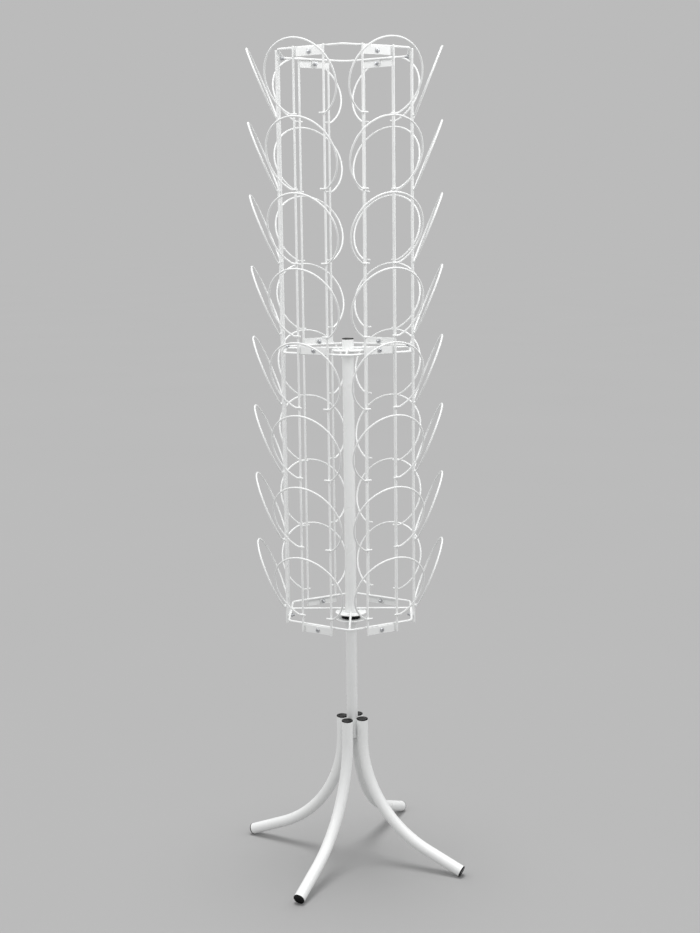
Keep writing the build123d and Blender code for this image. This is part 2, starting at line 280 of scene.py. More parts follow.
def powder_coat():
    """Glossy polyester powder coat, sprayed dry and baked on steel.

    It flows to a hard, even gloss with a faint orange peel, and lies a little thinner in
    places, so its colour and its gloss drift by a trace over some centimetres.
    """
    colours = bpy.context.scene.rack_colours
    material, tree, shader, place = new_material("baked_white_powder_coat")
    drift = add_node(tree, "ShaderNodeTexNoise", {
        "Vector": place, "Scale": 1 / (45 * MM), "Detail": 3.0, "Roughness": 0.55})
    # a colour mix repeats its sockets' names, so its two colours are reached by place
    tint = add_node(tree, "ShaderNodeMix", {
        "Factor": drift.outputs["Fac"], 6: tuple(colours.coat_thin), 7: tuple(colours.coat)},
        data_type="RGBA")
    gloss = add_node(tree, "ShaderNodeMapRange", {
        "Value": drift.outputs["Fac"], "From Min": 0.35, "From Max": 0.65,
        "To Min": 0.36, "To Max": 0.26})
    # orange peel is about 1 mm from crest to crest; 2.5 mm is the least that shows
    peel = add_node(tree, "ShaderNodeTexNoise", {
        "Vector": place, "Scale": 1 / (2.5 * MM), "Detail": 1.5, "Roughness": 0.4})
    bump = add_node(tree, "ShaderNodeBump", {
        "Height": peel.outputs["Fac"], "Strength": 0.18, "Distance": 0.05 * MM})
    tree.links.new(tint.outputs[2], shader.inputs["Base Color"])
    tree.links.new(gloss.outputs[0], shader.inputs["Roughness"])
    tree.links.new(bump.outputs[0], shader.inputs["Normal"])
    shader.inputs["IOR"].default_value = 1.5
    return material


def moulded_plastic(name, colour, roughness, grain):
    """Black plastic from a spark-eroded mould: even colour, fine matt grain, soft gloss."""
    material, tree, shader, place = new_material(name)
    patches = add_node(tree, "ShaderNodeTexNoise", {
        "Vector": place, "Scale": 1 / (9 * MM), "Detail": 2.0})
    haze = add_node(tree, "ShaderNodeMapRange", {
        "Value": patches.outputs["Fac"], "From Min": 0.3, "From Max": 0.7,
        "To Min": roughness - 0.05, "To Max": roughness + 0.07})
    tint = add_node(tree, "ShaderNodeHueSaturation", {"Color": tuple(colour)})
    shade = add_node(tree, "ShaderNodeMapRange", {
        "Value": patches.outputs["Fac"], "To Min": 0.85, "To Max": 1.2})
    tree.links.new(shade.outputs[0], tint.inputs["Value"])
    spark = add_node(tree, "ShaderNodeTexNoise", {
        "Vector": place, "Scale": 1 / grain, "Detail": 2.0, "Roughness": 0.6})
    bump = add_node(tree, "ShaderNodeBump", {
        "Height": spark.outputs["Fac"], "Strength": 0.35, "Distance": 0.04 * MM})
    tree.links.new(tint.outputs[0], shader.inputs["Base Color"])
    tree.links.new(haze.outputs[0], shader.inputs["Roughness"])
    tree.links.new(bump.outputs[0], shader.inputs["Normal"])
    # low, so that the plastic stays near black in bright light from all sides
    shader.inputs["Specular IOR Level"].default_value = 0.15
    shader.inputs["IOR"].default_value = 1.5
    return material


def plug_plastic():
    """Polyethylene of the push-in tube plugs: deep black, with a waxy gloss."""
    colour = bpy.context.scene.rack_colours.plug
    return moulded_plastic("moulded_black_polyethylene", colour, 0.28, 0.5 * MM)


def race_plastic():
    """Acetal of the bearing races: harder and smoother than the plugs."""
    colour = bpy.context.scene.rack_colours.race
    return moulded_plastic("moulded_black_acetal", colour, 0.32, 0.4 * MM)


def zinc_plate():
    """Zinc plating, passivated clear: a pale metal with a cloudy gloss."""
    colour = bpy.context.scene.rack_colours.zinc
    material, tree, shader, place = new_material("clear_zinc_plated_steel")
    cloud = add_node(tree, "ShaderNodeTexNoise", {
        "Vector": place, "Scale": 1 / (3 * MM), "Detail": 3.0})
    warm = add_node(tree, "ShaderNodeHueSaturation", {
        "Color": tuple(colour), "Saturation": 1.3})
    shade = add_node(tree, "ShaderNodeMapRange", {
        "Value": cloud.outputs["Fac"], "To Min": 0.8, "To Max": 1.15})
    tree.links.new(shade.outputs[0], warm.inputs["Value"])
    gloss = add_node(tree, "ShaderNodeMapRange", {
        "Value": cloud.outputs["Fac"], "To Min": 0.3, "To Max": 0.5})
    tree.links.new(warm.outputs[0], shader.inputs["Base Color"])
    tree.links.new(gloss.outputs[0], shader.inputs["Roughness"])
    shader.inputs["Metallic"].default_value = 1.0
    return material


def drawn_steel():
    """Bare drawn tube: fine draw lines along the pole and a dull, slightly oily shine."""
    material, tree, shader, place = new_material("bare_drawn_steel")
    stretch = add_node(tree, "ShaderNodeMapping", {"Vector": place, "Scale": (1, 1, 0.02)})
    lines = add_node(tree, "ShaderNodeTexNoise", {
        "Vector": stretch.outputs[0], "Scale": 1 / (0.5 * MM), "Detail": 3.0})
    gloss = add_node(tree, "ShaderNodeMapRange", {
        "Value": lines.outputs["Fac"], "To Min": 0.28, "To Max": 0.5})
    bump = add_node(tree, "ShaderNodeBump", {
        "Height": lines.outputs["Fac"], "Strength": 0.3, "Distance": 0.01 * MM})
    tree.links.new(gloss.outputs[0], shader.inputs["Roughness"])
    tree.links.new(bump.outputs[0], shader.inputs["Normal"])
    shader.inputs["Base Color"].default_value = linear("#9A9894")
    shader.inputs["Metallic"].default_value = 1.0
    return material


def ball_steel():
    """Ground and lapped bearing steel: a mirror with a trace of grease haze."""
    material, tree, shader, place = new_material("lapped_bearing_steel")
    grease = add_node(tree, "ShaderNodeTexNoise", {
        "Vector": place, "Scale": 1 / (2 * MM), "Detail": 2.0})
    gloss = add_node(tree, "ShaderNodeMapRange", {
        "Value": grease.outputs["Fac"], "To Min": 0.05, "To Max": 0.2})
    tree.links.new(gloss.outputs[0], shader.inputs["Roughness"])
    shader.inputs["Base Color"].default_value = linear("#D2D3D6")
    shader.inputs["Metallic"].default_value = 1.0
    return material


def cage_nylon():
    """Natural moulded nylon: creamy and satin, with some light passing under its skin."""
    material, tree, shader, place = new_material("moulded_natural_nylon")
    flow = add_node(tree, "ShaderNodeTexNoise", {
        "Vector": place, "Scale": 1 / (6 * MM), "Detail": 2.0})
    haze = add_node(tree, "ShaderNodeMapRange", {
        "Value": flow.outputs["Fac"], "To Min": 0.35, "To Max": 0.5})
    tree.links.new(haze.outputs[0], shader.inputs["Roughness"])
    shader.inputs["Base Color"].default_value = linear("#E6DFC8")
    shader.inputs["Subsurface Weight"].default_value = 0.15
    return material


def finish_material(maker):
    """One shared copy of each material."""
    key = maker.__name__
    if key not in finish_material.made:
        finish_material.made[key] = maker()
    return finish_material.made[key]


finish_material.made = {}


# ---- mesh helpers ----
def skin(bm, rings, closed=False):
    """Faces over a row of equal rings of points: capped at both ends, or joined end to end."""
    rows = [[bm.verts.new(point) for point in ring] for ring in rings]
    count = len(rows[0])
    pairs = list(zip(rows, rows[1:]))
    if closed:
        pairs.append((rows[-1], rows[0]))
    for low, high in pairs:
        for i in range(count):
            j = (i + 1) % count
            bm.faces.new((low[i], low[j], high[j], high[i]))
    if not closed:
        bm.faces.new(rows[0][::-1])
        bm.faces.new(rows[-1])


def shaped_ring(radii, height):
    """A level ring of points about the upright axis, each with its own radius."""
    count = len(radii)
    turns = [math.tau * i / count for i in range(count)]
    return [Vector((r * math.cos(t), r * math.sin(t), height)) for r, t in zip(radii, turns)]


def level_ring(radius, height, sides):
    """A level circle of points about the upright axis."""
    return shaped_ring([radius] * sides, height)


def carried_frames(points, closed=False):
    """At each point of a path: its direction, and two square directions that don't twist."""
    count = len(points)
    frames = []
    side = None
    for i, point in enumerate(points):
        before = points[i - 1] if closed or i else point
        after = points[(i + 1) % count] if closed or i < count - 1 else point
        along = (after - before).normalized()
        if side is None:
            side = along.orthogonal()
        side = (side - along * side.dot(along)).normalized()
        frames.append((along, side, along.cross(side)))
    return frames


def circle_at(point, frame_at, radius, sides):
    """A ring of points about a path."""
    _, side, other = frame_at
    turns = [math.tau * i / sides for i in range(sides)]
    return [point + side * (radius * math.cos(t)) + other * (radius * math.sin(t)) for t in turns]


def end_rings(point, frame_at, radius, rounding, sides, outward):
    """Rings that round a wire's end over, from its face back to its full radius."""
    along = frame_at[0] * outward
    rings = []
    for k in range(3):
        turn = math.radians(30 * k)
        inset = rounding * (1 - math.sin(turn))
        narrow = radius - rounding * (1 - math.cos(math.pi / 2 - turn))
        rings.append(circle_at(point - along * (rounding - inset), frame_at, narrow, sides))
    return rings


def add_wire(bm, points, diameter, sides, rounding=0.5 * MM, closed=False):
    """A round wire along a path, with rounded ends unless it is closed."""
    radius = diameter / 2
    frames = carried_frames(points, closed)
    if closed:
        skin(bm, [circle_at(p, f, radius, sides) for p, f in zip(points, frames)], closed=True)
        return
    first = end_rings(points[0], frames[0], radius, rounding, sides, -1)
    last = end_rings(points[-1], frames[-1], radius, rounding, sides, 1)
    inner = [circle_at(p, f, radius, sides) for p, f in zip(points[1:-1], frames[1:-1])]
    skin(bm, first + inner + last[::-1])


def add_tube(bm, points, diameter, wall, sides, rounding=0.4 * MM):
    """A hollow tube along a path: outer wall, rims and bore in one closed skin."""
    radius = diameter / 2
    frames = carried_frames(points)
    bore = radius - wall
    start, stop = frames[0], frames[-1]
    outer = [circle_at(points[0] + start[0] * rounding, start, radius, sides)]
    outer += [circle_at(p, f, radius, sides) for p, f in zip(points[1:-1], frames[1:-1])]
    outer += [circle_at(points[-1] - stop[0] * rounding, stop, radius, sides)]
    rim_out = [circle_at(points[-1], stop, radius - rounding, sides)]
    rim_out += [circle_at(points[-1], stop, bore, sides)]
    inner = [circle_at(p, f, bore, sides) for p, f in zip(points[1:-1], frames[1:-1])][::-1]
    rim_in = [circle_at(points[0], start, bore, sides)]
    rim_in += [circle_at(points[0], start, radius - rounding, sides)]
    skin(bm, outer + rim_out + inner + rim_in, closed=True)


def rounded(profile, radius, steps=3):
    """A closed radius-and-height profile with its corners rounded."""
    points = []
    count = len(profile)
    for i, corner in enumerate(profile):
        before = Vector(profile[i - 1]) - Vector(corner)
        after = Vector(profile[(i + 1) % count]) - Vector(corner)
        reach = min(radius, before.length * 0.45, after.length * 0.45)
        start = Vector(corner) + before.normalized() * reach
        stop = Vector(corner) + after.normalized() * reach
        for k in range(steps + 1):
            t = k / steps
            point = start * (1 - t) ** 2 + Vector(corner) * (2 * t * (1 - t)) + stop * t ** 2
            points.append((point.x, point.y))
    return points


def hollow_profile(outer, bore, low, high, edge_r):
    """Profile of a tube, or of a disc with a hole, with eased edges."""
    return rounded([(outer, low), (outer, high), (bore, high), (bore, low)], edge_r)


def lathe_piece(name, profile, sides):
    """A piece turned about the upright axis from a closed profile of radii and heights."""
    bm = bmesh.new()
    skin(bm, [level_ring(radius, height, sides) for radius, height in profile], closed=True)
    return piece_from(bm, name)


def add_drop(bm, centre, half_sizes, draw, around=8, along=4):
    """A small lump of weld metal: a squashed ball with an uneven skin."""
    rings = []
    for k in range(1, along + 1):
        tilt = math.pi * k / (along + 1)
        ring = []
        for i in range(around):
            turn = math.tau * i / around
            swell = 1 + draw.uniform(-WELD_UNEVENNESS, WELD_UNEVENNESS)
            unit = Vector((
                math.cos(tilt), math.sin(tilt) * math.cos(turn), math.sin(tilt) * math.sin(turn)))
            ring.append(Vector(centre) + Vector([u * h * swell for u, h in zip(unit, half_sizes)]))
        rings.append(ring)
    skin(bm, rings)


def add_holed_strip(bm, outline, hole_r, thickness, bevel):
    """A flat strip in the YZ plane, centred on its hole, with eased edges.

    The outline is a list of points about the hole, each seen from it in a new direction.
    """
    def level(points, x):
        """The points at one depth of the strip."""
        return [Vector((x, y, z)) for y, z in points]

    def shrunk(points, by):
        """The outline moved inwards, square to itself."""
        inset = []
        for i, (y, z) in enumerate(points):
            along = (Vector(points[(i + 1) % len(points)]) - Vector(points[i - 1])).normalized()
            inset.append((y - by * along.y, z + by * along.x))
        return inset

    def hole(radius):
        """A circle of points in the directions of the outline's."""
        turns = [math.atan2(z, y) for y, z in outline]
        return [(radius * math.cos(t), radius * math.sin(t)) for t in turns]

    half = thickness / 2
    rings = [
        level(shrunk(outline, bevel), half),
        level(outline, half - bevel),
        level(outline, bevel - half),
        level(shrunk(outline, bevel), -half),
        level(hole(hole_r + bevel), -half),
        level(hole(hole_r), bevel - half),
        level(hole(hole_r), half - bevel),
        level(hole(hole_r + bevel), half),
    ]
    skin(bm, rings, closed=True)


def rounded_box_outline(half_y, low_z, high_z, corner_r, steps=4, side_steps=4):
    """Corners of a rounded rectangle as points, anticlockwise from its right side."""
    corners = [
        (half_y - corner_r, high_z - corner_r, 0), (corner_r - half_y, high_z - corner_r, 90),
        (corner_r - half_y, low_z + corner_r, 180), (half_y - corner_r, low_z + corner_r, 270)]
    points = []
    for index, (y, z, first) in enumerate(corners):
        for k in range(steps + 1):
            turn = math.radians(first + 90 * k / steps)
            points.append((y + corner_r * math.cos(turn), z + corner_r * math.sin(turn)))
        next_y, next_z, next_first = corners[(index + 1) % len(corners)]
        turn = math.radians(next_first)
        rise_y = next_y + corner_r * math.cos(turn) - points[-1][0]
        rise_z = next_z + corner_r * math.sin(turn) - points[-1][1]
        start_y, start_z = points[-1]
        for k in range(1, side_steps):
            t = k / side_steps
            points.append((start_y + rise_y * t, start_z + rise_z * t))
    return points


def add_part(bm, part, place):
    """Move a mesh to its place and add it to another; it is used up."""
    bmesh.ops.transform(part, matrix=place, verts=part.verts)
    mesh = bpy.data.meshes.new("part")
    part.to_mesh(mesh)
    part.free()
    bm.from_mesh(mesh)
    bpy.data.meshes.remove(mesh)


def piece_from(bm, name):
    """Close a mesh up, turn its faces outwards and put it in the scene."""
    bmesh.ops.remove_doubles(bm, verts=bm.verts, dist=MERGE_DISTANCE)
    bmesh.ops.recalc_face_normals(bm, faces=bm.faces)
    mesh = bpy.data.meshes.new(name)
    bm.to_mesh(mesh)
    bm.free()
    piece = bpy.data.objects.new(name, mesh)
    bpy.context.scene.collection.objects.link(piece)
    return piece


def finish_piece(piece, maker, body, nodes):
    """Give a piece its edges and finish, its body, and the CAD nodes it stands for."""
    mesh = piece.data
    for polygon in mesh.polygons:
        polygon.use_smooth = True
    mesh.set_sharp_from_angle(angle=SHARP_ANGLE)
    if not mesh.materials:
        mesh.materials.append(finish_material(maker))
    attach(piece, body)
    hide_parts(*nodes)


# ---- geometry nodes ----
def copies_tree():
    """Copies of one shape: stacked in rows up the rack, then set round the pole."""
    if "Rows and rounds" in bpy.data.node_groups:
        return bpy.data.node_groups["Rows and rounds"]
    tree = bpy.data.node_groups.new("Rows and rounds", "GeometryNodeTree")
    for name, kind in (
            ("Geometry", "NodeSocketGeometry"), ("Rows", "NodeSocketInt"),
            ("Row Pitch", "NodeSocketFloat"), ("Rounds", "NodeSocketInt"),
            ("First Angle", "NodeSocketFloat"), ("Material", "NodeSocketMaterial")):
        tree.interface.new_socket(name, in_out="INPUT", socket_type=kind)
    tree.interface.new_socket("Geometry", in_out="OUTPUT", socket_type="NodeSocketGeometry")
    given = add_node(tree, "NodeGroupInput").outputs

    step = add_node(tree, "ShaderNodeCombineXYZ", {"Z": given["Row Pitch"]})
    rows = add_node(tree, "GeometryNodeMeshLine", {
        "Count": given["Rows"], "Offset": step.outputs[0]})
    column = add_node(tree, "GeometryNodeInstanceOnPoints", {
        "Points": rows.outputs[0], "Instance": given["Geometry"]})

    spots = add_node(tree, "GeometryNodePoints", {"Count": given["Rounds"]})
    index = add_node(tree, "GeometryNodeInputIndex")
    share = add_node(tree, "ShaderNodeMath", {0: math.tau, 1: given["Rounds"]}, operation="DIVIDE")
    angle = add_node(tree, "ShaderNodeMath", {
        0: index.outputs[0], 1: share.outputs[0], 2: given["First Angle"]}, operation="MULTIPLY_ADD")
    facing = add_node(tree, "ShaderNodeCombineXYZ", {"Z": angle.outputs[0]})
    rounds = add_node(tree, "GeometryNodeInstanceOnPoints", {
        "Points": spots.outputs[0], "Instance": column.outputs[0], "Rotation": facing.outputs[0]})

    whole = add_node(tree, "GeometryNodeRealizeInstances", {"Geometry": rounds.outputs[0]})
    coated = add_node(tree, "GeometryNodeSetMaterial", {
        "Geometry": whole.outputs[0], "Material": given["Material"]})
    add_node(tree, "NodeGroupOutput", {"Geometry": coated.outputs[0]})
    return tree


def copies_of(master, name, material, rows=1, pitch=0.0, rounds=1, first_angle=0.0):
    """A plain mesh piece with the master repeated by the tree; the master is used up."""
    tree = copies_tree()
    modifier = master.modifiers.new("copies", "NODES")
    modifier.node_group = tree
    values = {
        "Rows": rows, "Row Pitch": pitch, "Rounds": rounds, "First Angle": first_angle,
        "Material": material}
    for item in tree.interface.items_tree:
        if item.in_out == "INPUT" and item.name in values:
            modifier[item.identifier] = values[item.name]
    view = bpy.context.evaluated_depsgraph_get()
    mesh = bpy.data.meshes.new_from_object(master.evaluated_get(view))
    mesh.name = name
    master.modifiers.remove(modifier)
    old = master.data
    master.data = mesh
    master.name = name
    bpy.data.meshes.remove(old)
    return master


def join_pieces(name, pieces):
    """One piece from several, in the order given."""
    bm = bmesh.new()
    material = pieces[0].data.materials[0]
    for piece in pieces:
        bm.from_mesh(piece.data)
        old = piece.data
        bpy.data.objects.remove(piece)
        bpy.data.meshes.remove(old)
    whole = piece_from(bm, name)
    whole.data.materials.append(material)
    return whole


# ---- the stand ----
def foot_end():
    """Centre of a leg tube's cut end: reach from the pole's axis, and height."""
    radius = TUBE_D / 2
    drop = radius * math.cos(LEG_END_SLOPE) + PLUG_HEAD * math.sin(LEG_END_SLOPE)
    return Vector((FOOT_REACH, 0, drop - FOOT_FLAT_DEPTH))


def leg_path(steps=44):
    """A leg's centre line in the plane of +X: down, round one wide bend, out to the floor."""
    end = foot_end()
    turn = math.pi / 2 - LEG_END_SLOPE
    bend_x = LEG_R + LEG_BEND_R * (1 - math.cos(turn))
    bend_z = end.z + (end.x - bend_x) * math.tan(LEG_END_SLOPE)
    centre = Vector((LEG_R + LEG_BEND_R, 0, bend_z + LEG_BEND_R * math.sin(turn)))
    path = [Vector((LEG_R, 0, stub_high.z)), Vector((LEG_R, 0, stub_high.z - TUBE_D / 2))]
    for k in range(steps + 1):
        t = turn * k / steps
        path.append(centre + Vector((-LEG_BEND_R * math.cos(t), 0, -LEG_BEND_R * math.sin(t))))
    path.append(path[-1].lerp(end, 0.9))
    path.append(end)
    return path


def plug_profile():
    """Push-in plug: dished head above zero, ribbed shank below."""
    radius = TUBE_D / 2
    bore = radius - TUBE_WALL
    shank = bore - PLUG_RIB
    tip = 0.05 * MM
    head = PLUG_HEAD
    profile = [
        (tip, head - 0.7 * MM), (6.5 * MM, head - 0.65 * MM), (8.2 * MM, head - 0.45 * MM),
        (9.2 * MM, head - 0.12 * MM), (10.0 * MM, head - 0.01 * MM), (11.2 * MM, head - 0.02 * MM),
        (12.0 * MM, head - 0.22 * MM), (12.35 * MM, head - 0.55 * MM), (radius, head - 1.0 * MM),
        (radius, 0.25 * MM), (radius - 0.25 * MM, 0.0), (shank, 0.0)]
    for depth in PLUG_RIB_DEPTHS:
        profile += [
            (shank, -depth), (bore - 0.03 * MM, -depth), (shank, -depth - PLUG_RIB_LENGTH)]
    profile += [
        (shank, -PLUG_SHANK), (shank - PLUG_WALL, -PLUG_SHANK), (shank - PLUG_WALL, -PLUG_FLOOR),
        (tip, -PLUG_FLOOR)]
    return profile


def make_plug(name, place, floor_cut=False, sides=40):
    """One plug, placed by a matrix; a foot plug is worn flat where it meets the floor."""
    bm = bmesh.new()
    skin(bm, [level_ring(radius, height, sides) for radius, height in plug_profile()])
    bmesh.ops.transform(bm, matrix=place, verts=bm.verts)
    if floor_cut:
        everything = bm.verts[:] + bm.edges[:] + bm.faces[:]
        cut = bmesh.ops.bisect_plane(
            bm, geom=everything, plane_co=(0, 0, 0), plane_no=(0, 0, -1), clear_outer=True)
        edges = [item for item in cut["geom_cut"] if isinstance(item, bmesh.types.BMEdge)]
        bmesh.ops.holes_fill(bm, edges=edges, sides=0)
    return piece_from(bm, name)


class RACK_OT_legs(bpy.types.Operator):
    """Make the four bent leg tubes, with their welds to the centre tube"""
    bl_idname = "rack.legs"
    bl_label = "Legs"

    def execute(self, context):
        sizes = context.scene.rack_sizes
        draw = random.Random(11)
        for i in range(LEG_COUNT):
            bm = bmesh.new()
            add_tube(bm, leg_path(), TUBE_D, TUBE_WALL, sizes.tube_sides)
            # weld drops down both sides of the line where the leg meets the centre tube
            for side in (-1, 1):
                for row in range(LEG_WELD_ROWS):
                    z = stub_high.z - LEG_WELD_FIRST - row * LEG_WELD_PITCH
                    add_drop(bm, (LEG_R / 2, side * LEG_WELD_ASIDE, z), LEG_WELD, draw)
            turn = Matrix.Rotation(FIRST_LEG + i * LEG_STEP, 4, "Z")
            bmesh.ops.transform(bm, matrix=turn, verts=bm.verts)
            leg = piece_from(bm, f"leg_tube_{i + 1}")
            finish_piece(leg, powder_coat, STAND, [f"leg_{i + 1}"])
        return {"FINISHED"}


class RACK_OT_plugs(bpy.types.Operator):
    """Make the black plugs in the legs' tops, the legs' feet and the pole's top"""
    bl_idname = "rack.plugs"
    bl_label = "Tube plugs"

    def execute(self, context):
        end = foot_end()
        outward = Vector((math.cos(LEG_END_SLOPE), 0, -math.sin(LEG_END_SLOPE)))
        aim = outward.to_track_quat("Z", "Y").to_matrix().to_4x4()
        for i in range(LEG_COUNT):
            turn = Matrix.Rotation(FIRST_LEG + i * LEG_STEP, 4, "Z")
            top = make_plug(
                f"leg_top_cap_{i + 1}", turn @ Matrix.Translation((LEG_R, 0, stub_high.z)))
            finish_piece(top, plug_plastic, STAND, [f"leg_top_plug_{i + 1}"])
            foot = make_plug(
                f"foot_cap_{i + 1}", turn @ Matrix.Translation(end) @ aim, floor_cut=True)
            finish_piece(foot, plug_plastic, STAND, [f"foot_plug_{i + 1}"])
        cap = make_plug("pole_top_cap", Matrix.Translation((0, 0, pole_high.z)))
        finish_piece(cap, plug_plastic, STAND, ["pole_cap"])
        return {"FINISHED"}


def weld_round(name, radius, z, material, count=54):
    """A fillet weld under a disc's face and round its tube, as a row of overlapping drops."""
    bm = bmesh.new()
    draw = random.Random(count)
    add_drop(bm, (radius + ROUND_WELD_OUT, 0, z - ROUND_WELD_DROP), ROUND_WELD, draw)
    return copies_of(piece_from(bm, name), name, material, rounds=count)


class RACK_OT_pole(bpy.types.Operator):
    """Make the pole, the centre tube that it stands on and the collar under the bearing"""
    bl_idname = "rack.pole"
    bl_label = "Pole"

    def execute(self, context):
        sides = context.scene.rack_sizes.tube_sides
        coat = finish_material(powder_coat)
        radius = TUBE_D / 2
        bore = radius - TUBE_WALL
        for name, node, low, high in (
                ("pole_tube", "pole", pole_low.z, pole_high.z),
                ("centre_stub", "centre_tube", stub_low.z, stub_high.z)):
            tube = lathe_piece(name, hollow_profile(radius, bore, low, high, TUBE_EDGE_R), sides)
            finish_piece(tube, powder_coat, STAND, [node])

        profile = hollow_profile(
            collar_high.y, radius, collar_low.z, collar_high.z, DISC_EDGE_R)
        disc = lathe_piece("collar_disc", profile, 2 * sides)
        disc.data.materials.append(coat)
        weld = weld_round("collar_weld", radius, collar_low.z, coat)
        collar = join_pieces("bearing_collar", [disc, weld])
        finish_piece(collar, powder_coat, STAND, ["support_collar"])
        return {"FINISHED"}


# ---- the bearing ----
class RACK_OT_bearing(bpy.types.Operator):
    """Make the two bearing races, and finish the parts hidden inside them and the pole"""
    bl_idname = "rack.bearing"
    bl_label = "Bearing"

    def execute(self, context):
        sides = 2 * context.scene.rack_sizes.tube_sides
        bore = TUBE_D / 2 + RUNNING_CLEARANCE
        ball_low, ball_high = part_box("bearing_balls")
        ball_r = (ball_high.z - ball_low.z) / 2
        ball_z = (ball_high.z + ball_low.z) / 2
        circle_r = ball_high.x - ball_r
        groove_r = ball_r + GROOVE_CLEARANCE
        outer = upper_race_high.y
        skirt_r = outer - SKIRT_WALL
        upper_face = ball_z + RACE_GAP / 2
        lower_face = ball_z - RACE_GAP / 2

        def groove(face_z, up, steps=6):
            """Points across the ball groove in a race's face, from outside to inside."""
            reach = math.acos(abs(face_z - ball_z) / groove_r)
            points = []
            for k in range(steps + 1):
                turn = reach - 2 * reach * k / steps
                points.append((
                    circle_r + groove_r * math.sin(turn), ball_z + up * groove_r * math.cos(turn)))
            return points

        top = upper_race_high.z
        # the skirt's corner with the ball face stays sharp, so its four points are left off
        rim = rounded([
            (outer, top), (outer, upper_race_low.z), (skirt_r, upper_race_low.z),
            (skirt_r, upper_face)], SKIRT_EDGE_R)[:-4]
        profile = [(bore, top - RACE_BORE_EDGE), (bore + RACE_BORE_EDGE, top)]
        profile += rim + [(skirt_r, upper_face)] + groove(upper_face, 1)
        profile += [(bore, upper_face)]
        upper = lathe_piece("upper_race", profile, sides)
        finish_piece(upper, race_plastic, BASKET, ["bearing_upper_race"])

        step_r = skirt_r - SKIRT_GAP
        step_z = lower_race_high.z - RACE_STEP
        low = lower_race_low.z
        profile = [(bore, lower_face)] + groove(lower_face, -1)[::-1]
        profile += [
            (step_r - RACE_STEP_EDGE, lower_face), (step_r, lower_face - RACE_STEP_EDGE),
            (step_r, step_z), (outer - RACE_EDGE, step_z), (outer, step_z - RACE_EDGE),
            (outer, low + RACE_EDGE), (outer - RACE_EDGE, low), (bore, low)]
        lower = lathe_piece("lower_race", profile, sides)
        finish_piece(lower, race_plastic, STAND, ["bearing_lower_race"])

        for node, maker in (
                ("bearing_balls", ball_steel), ("ball_cage", cage_nylon),
                ("joining_spigot", drawn_steel)):
            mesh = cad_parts[node].data
            mesh.materials.clear()
            mesh.materials.append(finish_material(maker))
        return {"FINISHED"}


# ---- the basket's frame ----
def ring_path(z, corner_steps=7):
    """Centre line of a six-sided ring with rounded corners, one corner towards -Y."""
    half = FACE_STEP / 2
    inner_r = (RING_APOTHEM - RING_CORNER_R) / math.cos(half)
    path = []
    for corner in range(FACE_COUNT):
        facing = -math.pi / 2 + corner * FACE_STEP
        centre = Vector((inner_r * math.cos(facing), inner_r * math.sin(facing), z))
        for k in range(corner_steps + 1):
            turn = facing - half + FACE_STEP * k / corner_steps
            path.append(centre + Vector((math.cos(turn), math.sin(turn), 0)) * RING_CORNER_R)
        # a point halfway along the side keeps the wire straight between corners
        side = facing + half
        path.append(Vector((math.cos(side), math.sin(side), 0)) * RING_APOTHEM + Vector((0, 0, z)))
    return path


def lug_outline(reach):
    """Outline of a screw tab about its hole: square at the ring, round at its tail."""
    half = LUG_WIDTH / 2
    points = []
    for k in range(9):
        turn = math.pi * k / 8
        points.append((half * math.cos(turn), (LUG_TAIL - half) + half * math.sin(turn)))
    points += [(-half, -reach * 0.25), (-half, -reach * 0.6)]
    for k in range(7):
        points.append((-half + LUG_WIDTH * k / 6, -reach))
    points += [(half, -reach * 0.6), (half, -reach * 0.25)]
    return points


def add_lug(bm, level, draw):
    """One screw tab on the face towards +X, with its weld to the ring."""
    ring_z, screw_z = RING_Z[level], SCREW_Z[level]
    up = 1 if screw_z > ring_z else -1
    part = bmesh.new()
    add_holed_strip(part, lug_outline(abs(screw_z - ring_z)), SCREW_HOLE_D / 2, LUG_T, LUG_EDGE)
    place = Matrix.Translation((strap_low.x - LUG_T / 2, 0, screw_z))
    if up < 0:
        place = place @ Matrix.Rotation(math.pi, 4, "X")
    add_part(bm, part, place)
    for y in LUG_WELD_ROWS:
        spot = (strap_low.x - LUG_T - 0.2 * MM, y, ring_z + up * 2.2 * MM)
        add_drop(bm, spot, LUG_WELD, draw)


def spoke_lines(level):
    """Ends of a hub's wires: a rod across behind the pole, and a spoke out to each corner."""
    low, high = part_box(f"spokes_{level}")
    z = (low.z + high.z) / 2
    lines = [(Vector((low.x, CROSS_ROD_Y, z)), Vector((high.x, CROSS_ROD_Y, z)))]
    for reach in (low.y, high.y):
        inner = math.copysign(SPOKE_INNER_R, reach)
        lines.append((Vector((0, inner, z)), Vector((0, reach, z))))
    return lines


def add_butt_weld(bm, end, along, draw):
    """Weld drops beside and under a wire's end, where it meets the inside of a ring."""
    across = Vector((-along.y, along.x, 0))
    beside = across * BUTT_WELD_BESIDE
    for offset in (beside, -beside, Vector((0, 0, -UNDER_WIRE))):
        add_drop(bm, end - along * BUTT_WELD_BACK + offset, BUTT_WELD, draw)


def add_seat_weld(bm, spot, along, draw):
    """A weld drop in each corner between a wire and the disc that it lies on."""
    across = Vector((-along.y, along.x, 0))
    for side in (-1, 1):
        place = spot + across * (side * SEAT_WELD_BESIDE) - Vector((0, 0, UNDER_WIRE))
        add_drop(bm, place, SEAT_WELD, draw)


